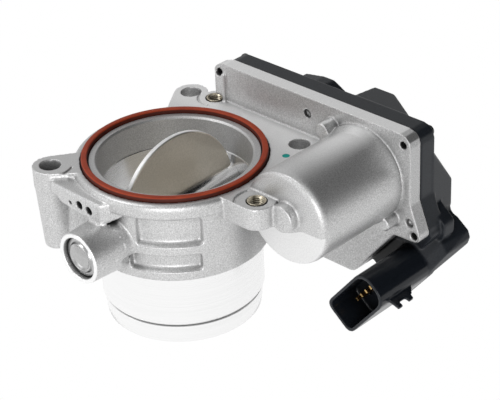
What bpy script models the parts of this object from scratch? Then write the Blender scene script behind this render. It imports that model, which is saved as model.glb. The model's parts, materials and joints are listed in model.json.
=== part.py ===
"""Electronic throttle body.

The frame: the origin is the bore axis at the top face of the flange, +Z runs up the bore, and +X
runs along the throttle shaft towards the gear case. Every size below is in millimetres, and the
helpers turn them into metres where they make geometry.
"""

import math

import bmesh
import bpy
from mathutils import Matrix, Vector

MM = 0.001
MERGE = 1e-6

# Bore, flange, barrel and spigot, all turned about the bore axis.
BORE_RADIUS = 30.0
VALVE_BORE_RADIUS = 29.7
VALVE_BORE_TOP = -12.4
FLANGE_RADIUS = 39.2
FLANGE_EDGE = 1.8
FLANGE_DEPTH = 5.6
BARREL_RADIUS = 35.5
BARREL_END = -35.2
SPIGOT_RADIUS = 32.3
SPIGOT_END = -57.5
NOSE_RADII = (31.6, 30.9)
NOSE_END = -66.0
GROOVE_RADII = (33.1, 36.3)
GROOVE_DEPTH = 2.6
SEAL_TOP = 1.8
CUTTER_TWIST = 1.7

# Shaft and valve plate.
SHAFT_Z = -21.9
SHAFT_RADIUS = 5.0
SHAFT_ENDS = (-46.0, 52.2)
PLATE_RADIUS = 29.35
PLATE_THICKNESS = 2.4
OPEN_ANGLE = 88.0
PLATE_SCREW_X = 12.0
GAP = 0.3

# Lugs on the flange: centre, radius, and how deep the lug reaches.
LUG_RADIUS = 7.0
BOLT_HOLE_RADIUS = 4.15
BOLT_LUGS = {"far": (-36.2, 30.9, -9.0), "back": (40.5, 32.0, -9.0), "motor": (36.1, -31.5, -9.0)}
INSERT_LUGS = {"gear_side": (43.2, 20.7, 6.2, -12.0), "motor_side": (-5.2, -47.9, 6.8, -9.2)}
INSERT_RADII = (2.95, 3.65)
INSERT_DEPTH = 8.0
INSERT_PROUD = 0.3
COLUMN_END = (5.3, -35.0)

# Boss at the far end of the shaft.
BOSS_END = -52.15
BOSS_RADIUS = 10.2
BOSS_RECESS = (8.4, -48.4)
PLUG_X = (-51.3, -49.2)
PLUG_RADIUS = 8.1
BEARING_RADIUS = 8.0
BALL_BEARING_RADIUS = 9.5
FAR_BEARING = (-46.5, -37.0)
FAR_SEAL = (-36.5, -33.0)
GEAR_BEARING = (37.3, 44.0)
GEAR_SEAL = (33.0, 36.7)

# Gear case: x of the cast wall, its floor and its rim, then of the cover.
CASE_FRONT = 44.0
CASE_FLOOR = 46.4
CASE_RIM = 50.0
COVER_RIM = 50.3
COVER_TOP = 58.4
COVER_DROP = 0.7
COUNTERSINK = 0.1
COVER_INSIDE = 56.6

# Corners of the gear case outline as (y, z, corner radius), outside and then inside.
CASE_OUTLINE = (
    (20.7, 16.0, 5.0),
    (-79.6, 16.0, 5.0),
    (-79.6, -12.8, 3.0),
    (-85.5, -28.6, 3.0),
    (-71.9, -29.0, 1.5),
    (-51.35, -54.3, 4.0),
    (0.0, -54.3, 8.0),
    (20.7, -38.0, 6.0),
)
CASE_INSIDE = (
    (17.3, 5.5, 2.0),
    (11.0, 12.6, 2.0),
    (-69.0, 12.6, 2.0),
    (-76.3, 5.5, 2.0),
    (-76.3, -13.5, 1.5),
    (-74.6, -16.5, 3.0),
    (-74.6, -24.5, 1.2),
    (-69.9, -26.4, 3.5),
    (-57.0, -42.3, 2.0),
    (-39.0, -50.6, 2.0),
    (-1.5, -50.6, 3.0),
    (7.5, -39.5, 4.0),
    (17.3, -33.0, 2.0),
)
SEAL_GROOVE = (0.7, 1.7)
SEAL_GROOVE_FLOOR = 49.3
COVER_SCREWS = ((18.25, 12.1), (-76.0, 11.5), (-81.3, -25.9), (-47.5, -50.0), (13.0, -40.2))
COVER_SCREW_RADIUS = 1.3
SCREW_HOLE_RADIUS = 1.6
COVER_SCREW_END = 46.5
SCREW_HEAD = (2.7, 2.2)
DOWEL_HOLES = (("upper_dowel_hole", (-28.7, 8.9), 1.9), ("corner_dowel_hole", (-79.2, -20.9), 1.75))

# Motor: its axis as (y, z), its housing and what is inside.
MOTOR_AXIS = (-56.4, -6.5)
MOTOR_HOUSING_RADIUS = 19.5
MOTOR_HOUSING_FRONT = 0.0
MOTOR_CAVITY = (17.6, 3.0)
CAN_RADII = (15.6, 17.3)
CAN_X = (3.4, 46.0)
MOTOR_SCREW_REACH = 21.0
MOTOR_SCREW_ANGLES = (45.0, 225.0)
FRONT_BULGE = (-58.07, -4.83)
FRONT_BULGE_RADIUS = 5.5

# Gears: number of teeth and module of each pair.
SECTOR_TEETH = 52
SMALL_TEETH = 14
FIRST_MODULE = 1.0
LARGE_TEETH = 54
PINION_TEETH = 12
SECOND_MODULE = 0.8
SECTOR_X = (51.5, 56.0)
SMALL_X = (51.0, 57.0)
LARGE_X = (58.6, 63.4)
PINION_X = (57.6, 64.4)
SECTOR_SPARE = 8.0
TRAVEL = 84.0
PIN_RADIUS = 2.5

STOP_SCREW = (47.8, -46.0)
STOP_SCREW_RADIUS = 1.0

# Connector shroud on the cover: centre as (y, z), half sizes of its section and its x stations.
CONNECTOR_CENTRE = (-71.6, -48.55)
CONNECTOR_OUTSIDE = (14.3, 7.7)
CONNECTOR_WALL = 1.3
CONNECTOR_MOUTH = 21.5
CONNECTOR_FLOOR = 36.0
CONNECTOR_STEP = 50.0
CONNECTOR_SHOULDER = 57.0
CONNECTOR_BACK = 71.0
HOOK_LEAN = 23.0
TAB_LOW = (
    (-66.0, -10.0, 1.0),
    (-78.3, -12.5, 2.0),
    (-85.0, -28.3, 2.0),
    (-79.5, -35.5, 2.0),
    (-66.0, -36.0, 1.0),
)
TAB_HIGH = (
    (-66.0, -12.0, 1.0),
    (-80.0, -19.5, 3.0),
    (-86.3, -25.0, 3.0),
    (-86.0, -31.0, 3.0),
    (-79.0, -36.5, 2.0),
    (-66.0, -36.5, 1.0),
)
PIN_PITCH = 3.55
PIN_ROW = -1.5
PIN_X = (29.0, 45.5)
PIN_COUNT = 5

ALONG_X = Matrix(((0, 0, 1, 0), (1, 0, 0, 0), (0, 1, 0, 0), (0, 0, 0, 1)))
ALONG_Z = Matrix.Identity(4)


def backwards(centre):
    """Turns a profile about an axis along X at centre, given as (y, z), with its height along -X."""
    y, z = centre
    return Matrix(((0, 0, -1, 0), (0, 1, 0, y * MM), (1, 0, 0, z * MM), (0, 0, 0, 1)))


def polar(centre, radius, degrees):
    angle = math.radians(degrees)
    return (centre[0] + radius * math.cos(angle), centre[1] + radius * math.sin(angle))


def idler_position():
    """Where the two centre distances meet, below the line from the shaft to the motor."""
    shaft = Vector((0.0, SHAFT_Z))
    motor = Vector(MOTOR_AXIS)
    first = FIRST_MODULE * (SECTOR_TEETH + SMALL_TEETH) / 2
    second = SECOND_MODULE * (LARGE_TEETH + PINION_TEETH) / 2
    line = motor - shaft
    along = (first**2 - second**2 + line.length**2) / (2 * line.length)
    aside = math.sqrt(first**2 - along**2)
    unit = line.normalized()
    return tuple(shaft + unit * along + Vector((-unit.y, unit.x)) * aside)


IDLER_AXIS = idler_position()


# Scene and helpers -----------------------------------------------------------------------------


def clear_scene():
    for obj in list(bpy.data.objects):
        bpy.data.objects.remove(obj, do_unlink=True)


def new_collection(name):
    collection = bpy.data.collections.new(name)
    bpy.context.scene.collection.children.link(collection)
    return collection


def add_object(name, data, tool=True):
    obj = bpy.data.objects.new(name, data)
    (TOOLS if tool else PARTS).objects.link(obj)
    if tool:
        obj.hide_render = True
        obj.display_type = "WIRE"
    return obj


def mesh_object(name, bm, tool=True):
    mesh = bpy.data.meshes.new(name)
    bm.to_mesh(mesh)
    bm.free()
    return add_object(name, mesh, tool)


def box(name, low, high, tool=True):
    low, high = Vector(low) * MM, Vector(high) * MM
    bm = bmesh.new()
    bmesh.ops.create_cube(bm, size=1)
    bmesh.ops.scale(bm, vec=high - low, verts=bm.verts)
    bmesh.ops.translate(bm, vec=(low + high) / 2, verts=bm.verts)
    return mesh_object(name, bm, tool)


def cylinder(name, start, end, radius, end_radius=None, sides=24, tool=True):
    start, end = Vector(start) * MM, Vector(end) * MM
    axis = end - start
    bm = bmesh.new()
    bmesh.ops.create_cone(
        bm,
        cap_ends=True,
        segments=sides,
        radius1=radius * MM,
        radius2=(radius if end_radius is None else end_radius) * MM,
        depth=axis.length,
    )
    turn = Vector((0, 0, 1)).rotation_difference(axis).to_matrix().to_4x4()
    bmesh.ops.transform(bm, matrix=Matrix.Translation((start + end) / 2) @ turn, verts=bm.verts)
    return mesh_object(name, bm, tool)


def rod(name, centre, x_range, radius, end_radius=None, sides=24, tool=True):
    """A cylinder along X around centre, given as (y, z)."""
    start = (x_range[0], centre[0], centre[1])
    end = (x_range[1], centre[0], centre[1])
    return cylinder(name, start, end, radius, end_radius, sides, tool)


def turned(name, profile, matrix=ALONG_Z, sides=64, ring=False, tool=True):
    """Profile points are (radius, height), from the top down the outer side."""
    mesh = bpy.data.meshes.new(name)
    edges = [(i, i + 1) for i in range(len(profile) - 1)]
    if ring:
        edges.append((len(profile) - 1, 0))
    mesh.from_pydata([(r * MM, 0, h * MM) for r, h in profile], edges, [])
    obj = add_object(name, mesh, tool)
    obj.matrix_world = matrix
    screw = obj.modifiers.new("turn", "SCREW")
    screw.axis = "Z"
    screw.angle = math.tau
    screw.steps = sides
    screw.render_steps = sides
    screw.use_merge_vertices = True
    screw.merge_threshold = MERGE
    screw.use_smooth_shade = True
    return obj


def prism(name, outlines, span, matrix=ALONG_Z, tool=True):
    """Fills a flat outline, or an outline with holes, and gives it the thickness of span."""
    curve = bpy.data.curves.new(name, "CURVE")
    curve.dimensions = "2D"
    curve.fill_mode = "BOTH"
    curve.extrude = (span[1] - span[0]) / 2 * MM
    for outline in outlines:
        spline = curve.splines.new("POLY")
        spline.points.add(len(outline) - 1)
        for point, (u, v) in zip(spline.points, outline):
            point.co = (u * MM, v * MM, 0, 1)
        spline.use_cyclic_u = True
    guide = add_object(name + "_outline", curve)
    graph = bpy.context.evaluated_depsgraph_get()
    mesh = bpy.data.meshes.new_from_object(guide.evaluated_get(graph))
    bpy.data.objects.remove(guide, do_unlink=True)
    bm = bmesh.new()
    bm.from_mesh(mesh)
    bmesh.ops.remove_doubles(bm, verts=bm.verts, dist=MERGE)
    middle = Matrix.Translation((0, 0, (span[0] + span[1]) / 2 * MM))
    bmesh.ops.transform(bm, matrix=matrix @ middle, verts=bm.verts)
    bmesh.ops.recalc_face_normals(bm, faces=bm.faces)
    return mesh_object(name, bm, tool)


def hull(name, points, tool=True):
    """The convex solid through the given corners."""
    bm = bmesh.new()
    for point in points:
        bm.verts.new(Vector(point) * MM)
    made = bmesh.ops.convex_hull(bm, input=bm.verts)
    loose = [v for v in made["geom_interior"] if isinstance(v, bmesh.types.BMVert)]
    bmesh.ops.delete(bm, geom=loose, context="VERTS")
    bmesh.ops.recalc_face_normals(bm, faces=bm.faces)
    return mesh_object(name, bm, tool)


def combine(obj, tools, operation):
    for tool in tools:
        modifier = obj.modifiers.new(tool.name, "BOOLEAN")
        modifier.operation = operation
        modifier.solver = "EXACT"
        modifier.object = tool
    return obj


def join(obj, *tools):
    return combine(obj, tools, "UNION")


def cut(obj, *tools):
    return combine(obj, tools, "DIFFERENCE")


def bevel(obj, width, segments=2, degrees=40):
    modifier = obj.modifiers.new("rounded_edges", "BEVEL")
    modifier.width = width * MM
    modifier.segments = segments
    modifier.limit_method = "ANGLE"
    modifier.angle_limit = math.radians(degrees)
    return obj


def arc(centre, radius, first, last, steps):
    return [polar(centre, radius, first + (last - first) * i / steps) for i in range(steps + 1)]


def rounded(corners, steps=3):
    """Replaces each corner (u, v, radius) by an arc."""
    points = []
    for i, (u, v, radius) in enumerate(corners):
        here = Vector((u, v))
        back = (Vector(corners[i - 1][:2]) - here).normalized()
        ahead = (Vector(corners[(i + 1) % len(corners)][:2]) - here).normalized()
        half = back.angle(ahead) / 2
        centre = here + (back + ahead).normalized() * radius / math.sin(half)
        first = here + back * radius / math.tan(half) - centre
        last = here + ahead * radius / math.tan(half) - centre
        sweep = first.angle(last)
        for k in range(steps + 1):
            share = k / steps
            turned_by = first * math.sin((1 - share) * sweep) + last * math.sin(share * sweep)
            points.append(tuple(centre + turned_by / math.sin(sweep)))
    return points


def offset(points, amount):
    """Moves an anticlockwise outline inwards by amount, or outwards by a negative one."""
    moved = []
    for i, point in enumerate(points):
        back = (Vector(point) - Vector(points[i - 1])).normalized()
        ahead = (Vector(points[(i + 1) % len(points)]) - Vector(point)).normalized()
        normal = Vector((-back.y - ahead.y, back.x + ahead.x)).normalized()
        reach = amount / max(normal.dot(Vector((-back.y, back.x))), 0.5)
        moved.append(tuple(Vector(point) + normal * reach))
    return moved


def lug_outline(centre, radius, root_reach=24.0, root_radius=9.0):
    """A round lug that widens on its way to the bore axis, as the hull of two circles."""
    away = math.hypot(*centre)
    heading = math.degrees(math.atan2(centre[1], centre[0]))
    root = polar((0, 0), root_reach, heading)
    lean = math.degrees(math.asin((root_radius - radius) / (away - root_reach)))
    side = 90 - lean
    tip = arc(centre, radius, heading - side, heading + side, 10)
    back = arc(root, root_radius, heading + side, heading + 360 - side, 4)
    return tip + back


def ring_sector(inner, outer, first, last, steps):
    return arc((0, 0), outer, first, last, steps) + arc((0, 0), inner, last, first, steps)


def material(name, colour, roughness, metallic=0.0):
    made = bpy.data.materials.new(name)
    made.use_nodes = True
    shader = made.node_tree.nodes["Principled BSDF"]
    shader.inputs["Base Color"].default_value = (*colour, 1)
    shader.inputs["Roughness"].default_value = roughness
    shader.inputs["Metallic"].default_value = metallic
    return made


def finish(obj, look, degrees=35):
    """Gives a piece its material and smooth shading between sharp edges."""
    obj.data.materials.append(LOOKS[look])
    if obj.type == "MESH":
        obj.data.shade_smooth()
        obj.data.set_sharp_from_angle(angle=math.radians(degrees))
    return obj


def axis_empty(name, centre):
    """An empty on a joint axis, which the pieces that turn on it are parented to."""
    empty = bpy.data.objects.new(name, None)
    PARTS.objects.link(empty)
    empty.location = (0, centre[0] * MM, centre[1] * MM)
    empty.empty_display_size = 0.01
    return empty


def ride(empty, *objects):
    for obj in objects:
        obj.parent = empty


# Housing ---------------------------------------------------------------------------------------


def housing_body():
    """The turned core: flange with a rounded edge, barrel, spigot and lead-in nose."""
    edge_centre = (FLANGE_RADIUS - FLANGE_EDGE, -FLANGE_EDGE)
    edge = [polar(edge_centre, FLANGE_EDGE, 90 - 30 * i) for i in range(4)]
    profile = [(0, 0)] + edge
    profile += [(FLANGE_RADIUS, -FLANGE_DEPTH), (BARREL_RADIUS, -FLANGE_DEPTH - 2.1)]
    profile += [(BARREL_RADIUS, BARREL_END + 0.8), (BARREL_RADIUS - 0.8, BARREL_END)]
    profile += [(SPIGOT_RADIUS, BARREL_END), (SPIGOT_RADIUS, SPIGOT_END + 0.9)]
    profile += [(NOSE_RADII[0], SPIGOT_END), (NOSE_RADII[1], NOSE_END), (0, NOSE_END)]
    return turned("housing", profile, tool=False)


def flange_lugs():
    lugs = []
    for name, (x, y, depth) in BOLT_LUGS.items():
        outline = lug_outline((x, y), LUG_RADIUS)
        lugs.append(prism(name + "_bolt_lug", [outline], (depth, 0)))
    for name, (x, y, radius, depth) in INSERT_LUGS.items():
        outline = lug_outline((x, y), radius)
        lugs.append(prism(name + "_insert_lug", [outline], (depth, 0)))
    x, y, depth = BOLT_LUGS["far"]
    column = cylinder("column", (x, y, COLUMN_END[1]), (x, y, depth + 1), COLUMN_END[0], 6.75)
    corner = ((-4.0, -54.5), (2.4, -53.1), (3.9, -38.0), (-4.0, -36.0))
    wall = ((-38.6, 28.8), (-26.0, 17.0), (-20.0, 24.0), (-34.0, 33.2))
    column_web = prism("column_web", [wall], (-32.5, -5.0))
    return lugs + [column, column_web, prism("insert_pad_corner", [corner], (-3.2, 0))]


def web_to_boss():
    """The wall and shelf that tie the far lug to the shaft boss."""
    top = ((-38.0, 26.0), (-30.0, 20.0), (-35.5, -8.5), (-42.0, -2.0), (-42.0, 25.0))
    shelf = prism("web_shelf", [top], (-7.6, -2.5))
    side = rounded(((24.0, -4.0, 1.0), (0.0, -4.0, 1.0), (0.0, -11.9, 1.0), (20.2, -9.6, 1.0)))
    wall = prism("web_wall", [side], (-42.0, -37.5), ALONG_X)
    corners = [(-42.0, -2.0, -12.4), (-35.6, -8.4, -8.4), (-34.0, 2.0, -8.4), (-41.9, 4.0, -11.3)]
    corners += [(x, y, -4.0) for x, y, _ in corners]
    return [shelf, wall, hull("web_end", corners)]


def shaft_bosses():
    far = rod("far_boss", (0, SHAFT_Z), (BOSS_END, -28.0), BOSS_RADIUS, BOSS_RADIUS + 1.2, 40)
    near = rod("gear_boss", (0, SHAFT_Z), (30.0, CASE_FRONT + 1), 12.8, sides=32)
    return [far, near]


def gear_case_wall():
    """The cast wall of the gear case with its rim, and the deck that joins it to the flange."""
    outline = rounded(CASE_OUTLINE)
    case = prism("case_wall", [outline], (CASE_FRONT, CASE_RIM), ALONG_X)
    y, z = COVER_SCREWS[0]
    ear = rod("case_ear", (y, z), (CASE_FRONT, CASE_RIM), 3.0)
    ear_rib = box("ear_rib", (CASE_FRONT - 1, y - 3.2, -9.0), (CASE_FRONT + 5, y + 2.0, 12.0))
    deck_outline = ((22.0, -38.0), (CASE_FRONT + 1, -38.0), (CASE_FRONT + 1, 25.0), (22.0, 31.0))
    deck = prism("deck", [deck_outline], (-7.0, 0.0))
    keel = box("case_keel", (25.0, -2.5, -50.0), (CASE_FRONT + 1, 2.5, -15.0))
    return [case, ear, ear_rib, deck, keel]


def motor_housing():
    """A tube with a rounded front edge, two blind screw bosses and its webs to the flange."""
    radius = MOTOR_HOUSING_RADIUS
    round_edge = 3.0
    edge = arc((radius - round_edge, -MOTOR_HOUSING_FRONT - round_edge), round_edge, 90, 0, 4)
    back = -CASE_FRONT - 1
    profile = [(0, -MOTOR_HOUSING_FRONT)] + edge + [(radius, back), (0, back)]
    tube = turned("motor_tube", profile, backwards(MOTOR_AXIS), sides=48)
    stubs = []
    for angle in MOTOR_SCREW_ANGLES:
        centre = polar(MOTOR_AXIS, MOTOR_SCREW_REACH, angle)
        stubs.append(rod("motor_stub_%d" % angle, centre, (37.5, CASE_FRONT + 1), 3.1, sides=20))
    saddle_outline = ((4.0, -50.0), (CASE_FRONT + 1, -50.0), (CASE_FRONT + 1, -30.0), (14.0, -30.0))
    saddle = prism("motor_saddle", [saddle_outline], (-12.0, -0.6))
    bulge = rod("front_bulge", FRONT_BULGE, (-4.0, 6.0), FRONT_BULGE_RADIUS, sides=28)
    return [tube, saddle] + stubs + [bulge]


def bore_cutters():
    bore = [(0, 6.0), (BORE_RADIUS, 6.0), (BORE_RADIUS, VALVE_BORE_TOP)]
    bore += [(VALVE_BORE_RADIUS, VALVE_BORE_TOP - 0.3), (VALVE_BORE_RADIUS, NOSE_END - 4)]
    bore += [(0, NOSE_END - 4)]
    inner, outer = GROOVE_RADII
    groove = [(inner, 1.0), (outer, 1.0), (outer, -GROOVE_DEPTH), (inner, -GROOVE_DEPTH)]
    twist = Matrix.Rotation(math.radians(CUTTER_TWIST), 4, "Z")
    return [turned("seal_groove", groove, twist, ring=True), turned("bore", bore, twist)]


def flange_hole_cutters():
    cutters = []
    for name, (x, y, depth) in BOLT_LUGS.items():
        bottom = -16.0 if name == "far" else depth - 5
        cutters.append(cylinder(name + "_bolt_hole", (x, y, bottom), (x, y, 2), BOLT_HOLE_RADIUS))
    for name, (x, y, _, _) in INSERT_LUGS.items():
        radius = INSERT_RADII[1] + GAP
        hole = cylinder(name + "_insert_hole", (x, y, -INSERT_DEPTH - GAP), (x, y, 2), radius)
        cutters.append(hole)
    return cutters


def barrel_pocket_cutters():
    """Two shallow pockets in the barrel, left of the shaft boss as the motor side is faced."""
    upper = ring_sector(BARREL_RADIUS - 2.5, BARREL_RADIUS + 5, -160, -119, 12)
    lower = ring_sector(BARREL_RADIUS - 2.5, BARREL_RADIUS + 5, -166, -120, 12)
    upper_cut = prism("upper_pocket", [upper], (-19.5, -8.5))
    lower_cut = prism("lower_pocket", [lower], (-30.5, -24.0))
    return [upper_cut, lower_cut]


def web_hole_cutters():
    holes = ((14.0, -7.6, 0.9), (8.8, -6.9, 1.7), (3.6, -7.4, 1.7))
    cutters = []
    for number, (y, z, radius) in enumerate(holes):
        cutters.append(rod("web_hole_%d" % number, (y, z), (-43.0, -38.6), radius, sides=16))
    return cutters


def shaft_bore_cutters():
    axis = (0, SHAFT_Z)
    recess = rod("boss_recess", axis, (BOSS_END - 1, BOSS_RECESS[1]), BOSS_RECESS[0], sides=40)
    far = rod("far_bearing_bore", axis, (BOSS_END, FAR_SEAL[1] + GAP), BEARING_RADIUS + GAP)
    middle = rod("shaft_bore", axis, (-40.0, 40.0), SHAFT_RADIUS + GAP)
    seal = rod("gear_seal_bore", axis, (GEAR_SEAL[0] - GAP, 40.0), BEARING_RADIUS + GAP)
    near = rod("gear_bearing_bore", axis, (GEAR_BEARING[0] - GAP, 48.0), BALL_BEARING_RADIUS + GAP)
    return [recess, far, middle, seal, near]


def gear_case_cutters():
    inside = rounded(CASE_INSIDE)
    room = prism("case_room", [inside], (CASE_FLOOR, CASE_RIM + 2), ALONG_X)
    motor = rod("motor_room", MOTOR_AXIS, (MOTOR_CAVITY[1], CASE_RIM + 1), MOTOR_CAVITY[0], sides=48)
    groove_edges = [offset(inside, -SEAL_GROOVE[1]), offset(inside, -SEAL_GROOVE[0])]
    groove = prism("case_seal_groove", groove_edges, (SEAL_GROOVE_FLOOR, CASE_RIM + 1), ALONG_X)
    cutters = [room, motor, groove]
    for number, centre in enumerate(COVER_SCREWS):
        span = (CASE_FRONT - 1, CASE_RIM + 1)
        cutters.append(rod("case_screw_hole_%d" % number, centre, span, SCREW_HOLE_RADIUS, sides=16))
    for name, centre, radius in DOWEL_HOLES:
        cutters.append(rod(name, centre, (CASE_FRONT - 1, CASE_FRONT + 2), radius, sides=16))
    for angle in MOTOR_SCREW_ANGLES:
        centre = polar(MOTOR_AXIS, MOTOR_SCREW_REACH, angle)
        cutters.append(rod("motor_screw_hole_%d" % angle, centre, (39.0, 48.0), 1.7, sides=16))
    x, z = STOP_SCREW
    stop = cylinder("stop_screw_hole", (x, 20.0, z), (x, 0.0, z), STOP_SCREW_RADIUS + GAP, sides=16)
    return cutters + [stop]


def make_housing():
    housing = housing_body()
    join(housing, *flange_lugs(), *web_to_boss(), *shaft_bosses(), *gear_case_wall(), *motor_housing())
    cut(housing, *bore_cutters(), *flange_hole_cutters(), *barrel_pocket_cutters())
    cut(housing, *web_hole_cutters(), *shaft_bore_cutters(), *gear_case_cutters())
    pin_boss = rod("pin_boss", IDLER_AXIS, (CASE_FRONT + 1, 50.2), 5.0, sides=24)
    join(housing, pin_boss)
    cut(housing, rod("pin_hole", IDLER_AXIS, (44.7, 52.0), PIN_RADIUS + GAP, sides=24))
    finish(housing, "cast_aluminium")


# Small fixed pieces ----------------------------------------------------------------------------


def make_bore_seal():
    inner, outer = GROOVE_RADII[0] + GAP, GROOVE_RADII[1] - GAP
    bottom = GAP - GROOVE_DEPTH
    profile = [(inner + 0.6, SEAL_TOP), (outer - 0.6, SEAL_TOP), (outer, SEAL_TOP - 0.6)]
    profile += [(outer, bottom), (inner, bottom), (inner, SEAL_TOP - 0.6)]
    finish(turned("bore_seal", profile, ring=True, tool=False), "silicone")


def make_inserts():
    inner, outer = INSERT_RADII
    profile = [(inner + 0.4, INSERT_PROUD), (outer, INSERT_PROUD), (outer, -INSERT_DEPTH)]
    profile += [(inner, -INSERT_DEPTH), (inner, INSERT_PROUD - 0.4)]
    for name, (x, y, _, _) in INSERT_LUGS.items():
        place = Matrix.Translation((x * MM, y * MM, 0))
        insert = turned("insert_" + name, profile, place, sides=24, ring=True, tool=False)
        finish(insert, "brass")


def make_end_plug():
    outer, inner = PLUG_X
    profile = [(0, -outer - 0.8), (4.5, -outer - 0.8), (5.2, -outer), (PLUG_RADIUS - 0.6, -outer)]
    profile += [(PLUG_RADIUS, -outer - 0.6), (PLUG_RADIUS, -inner), (0, -inner)]
    plug = turned("shaft_end_plug", profile, backwards((0, SHAFT_Z)), sides=40, tool=False)
    finish(plug, "steel")


def make_sleeve(name, x_range, inner, outer, centre, look, sides=28, lip=0.0):
    """A ring along X; lip cuts a shallow groove in its end faces, as on a bearing or a seal."""
    low, high = x_range
    profile = [(inner, high), (outer, high), (outer, low), (inner, low)]
    if lip:
        middle = (inner + outer) / 2
        rim = lip * 0.8
        profile = [(inner, high), (middle - rim, high), (middle - rim, high - lip)]
        profile += [(middle + rim, high - lip), (middle + rim, high), (outer, high), (outer, low)]
        profile += [(inner, low)]
    matrix = Matrix.Translation((0, centre[0] * MM, centre[1] * MM)) @ ALONG_X
    return finish(turned(name, profile, matrix, sides, ring=True, tool=False), look)


def make_shaft_supports():
    axis = (0, SHAFT_Z)
    inner = SHAFT_RADIUS + GAP
    make_sleeve("shaft_bearing_far", FAR_BEARING, inner, BEARING_RADIUS, axis, "steel")
    make_sleeve("shaft_seal_far", FAR_SEAL, inner, BEARING_RADIUS, axis, "rubber", lip=0.8)
    make_sleeve("shaft_bearing_gear", GEAR_BEARING, inner, BALL_BEARING_RADIUS, axis, "steel", lip=1.0)
    make_sleeve("shaft_seal_gear", GEAR_SEAL, inner, BEARING_RADIUS, axis, "rubber", lip=0.8)


def make_return_spring():
    """A torsion spring around the hub of the throttle gear."""
    turns, steps, radius, wire = 2.2, 14, 9.4, 0.6
    curve = bpy.data.curves.new("return_spring", "CURVE")
    curve.dimensions = "3D"
    curve.bevel_depth = wire * MM
    curve.bevel_resolution = 1
    curve.use_fill_caps = True
    spline = curve.splines.new("POLY")
    count = int(turns * steps)
    spline.points.add(count)
    for i, point in enumerate(spline.points):
        y, z = polar((0, SHAFT_Z), radius, 360 * i / steps)
        x = 47.4 + wire + 1.4 * i / steps
        point.co = (x * MM, y * MM, z * MM, 1)
    finish(add_object("return_spring", curve, tool=False), "steel")


def make_screw(name, start, end, head_end, radius, head, look="steel", empty=None):
    """A round-headed screw from start to end of its shank, with a hexagonal socket in the head."""
    shank = cylinder(name, start, end, radius, sides=16, tool=False)
    direction = (Vector(head_end) - Vector(start)).normalized()
    seat = Vector(end) - direction * 0.2
    cap = cylinder(name + "_head", seat, head_end, head, head * 0.9, sides=24)
    socket_start = Vector(head_end) - direction * 1.2
    socket_end = Vector(head_end) + direction
    socket = cylinder(name + "_socket", socket_start, socket_end, head * 0.5, sides=6)
    join(shank, cap)
    cut(shank, socket)
    if empty:
        ride(empty, shank, cap, socket)
    return finish(shank, look)


def make_cover_screws():
    for number, (y, z) in enumerate(COVER_SCREWS, 1):
        seat = COVER_TOP + GAP
        start, end = (COVER_SCREW_END, y, z), (seat + 0.2, y, z)
        head = (seat + SCREW_HEAD[1], y, z)
        make_screw("cover_screw_%d" % number, start, end, head, COVER_SCREW_RADIUS, SCREW_HEAD[0])


def make_stop_screw():
    x, z = STOP_SCREW
    start, end, head = (x, 2.6, z), (x, 15.2, z), (x, 16.8, z)
    make_screw("open_stop_screw", start, end, head, STOP_SCREW_RADIUS, 2.1)


def make_intermediate_pin():
    finish(rod("intermediate_pin", IDLER_AXIS, (45.0, 65.2), PIN_RADIUS, tool=False), "steel")


def make_cover_seal():
    inside = rounded(CASE_INSIDE)
    edges = [offset(inside, -SEAL_GROOVE[1] + 0.15), offset(inside, -SEAL_GROOVE[0] - 0.15)]
    span = (SEAL_GROOVE_FLOOR + 0.1, CASE_RIM + 0.15)
    finish(prism("cover_seal", edges, span, ALONG_X, tool=False), "rubber")


# Throttle body: shaft, plate, gear and magnet ----------------------------------------------------


def make_throttle():
    """The pieces that turn with the shaft, in coordinates centred on its axis."""
    empty = axis_empty("throttle_axis", (0, SHAFT_Z))
    centre = (0, 0)
    tilt = Matrix.Rotation(math.radians(OPEN_ANGLE), 4, "X")
    shaft = rod("throttle_shaft", centre, SHAFT_ENDS, SHAFT_RADIUS, tool=False, sides=40)
    half = PLATE_THICKNESS / 2
    slot = box("plate_slot", (-29.6, -20.0, -half - GAP), (29.6, 20.0, half + GAP))
    plate = cylinder("throttle_plate", (0, 0, -half), (0, 0, half), PLATE_RADIUS, sides=64, tool=False)
    cutters = []
    for number, x in enumerate((-PLATE_SCREW_X, PLATE_SCREW_X), 1):
        hole = cylinder("plate_hole_%d" % number, (x, 0, -4), (x, 0, 9), 1.7, sides=16)
        seat = cylinder("plate_screw_seat_%d" % number, (x, 0, -9), (x, 0, -3.2), 2.9, sides=20)
        end = (x, 0, -3.6)
        screw = make_screw("plate_screw_%d" % number, (x, 0, 3.2), end, (x, 0, -5.0), 1.4, 2.5)
        for piece in [screw] + [modifier.object for modifier in screw.modifiers]:
            piece.matrix_world = tilt
            piece.parent = empty
        cutters += [hole, seat]
    for piece in [plate, slot] + cutters:
        piece.matrix_world = tilt
        piece.parent = empty
    ride(empty, shaft)
    cut(shaft, slot, *cutters)
    cut(plate, *cutters)
    bevel(plate, 0.4, 1)
    finish(shaft, "steel")
    finish(plate, "valve_metal")
    return empty


def gear_teeth(teeth, module, phase, first=0, count=None):
    """Points of straight-flanked teeth around the origin; phase is the angle of tooth 0."""
    pitch = 360 / teeth
    root = module * (teeth / 2 - 1.25)
    tip = module * (teeth / 2 + 0.9)
    points = []
    for k in range(first, first + (teeth if count is None else count)):
        middle = phase + k * pitch
        for radius, share in ((root, -0.30), (tip, -0.12), (tip, 0.12), (root, 0.30)):
            points.append(polar((0, 0), radius, middle + share * pitch))
    return points


def heading(start, end):
    return math.degrees(math.atan2(end[1] - start[1], end[0] - start[0]))


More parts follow.
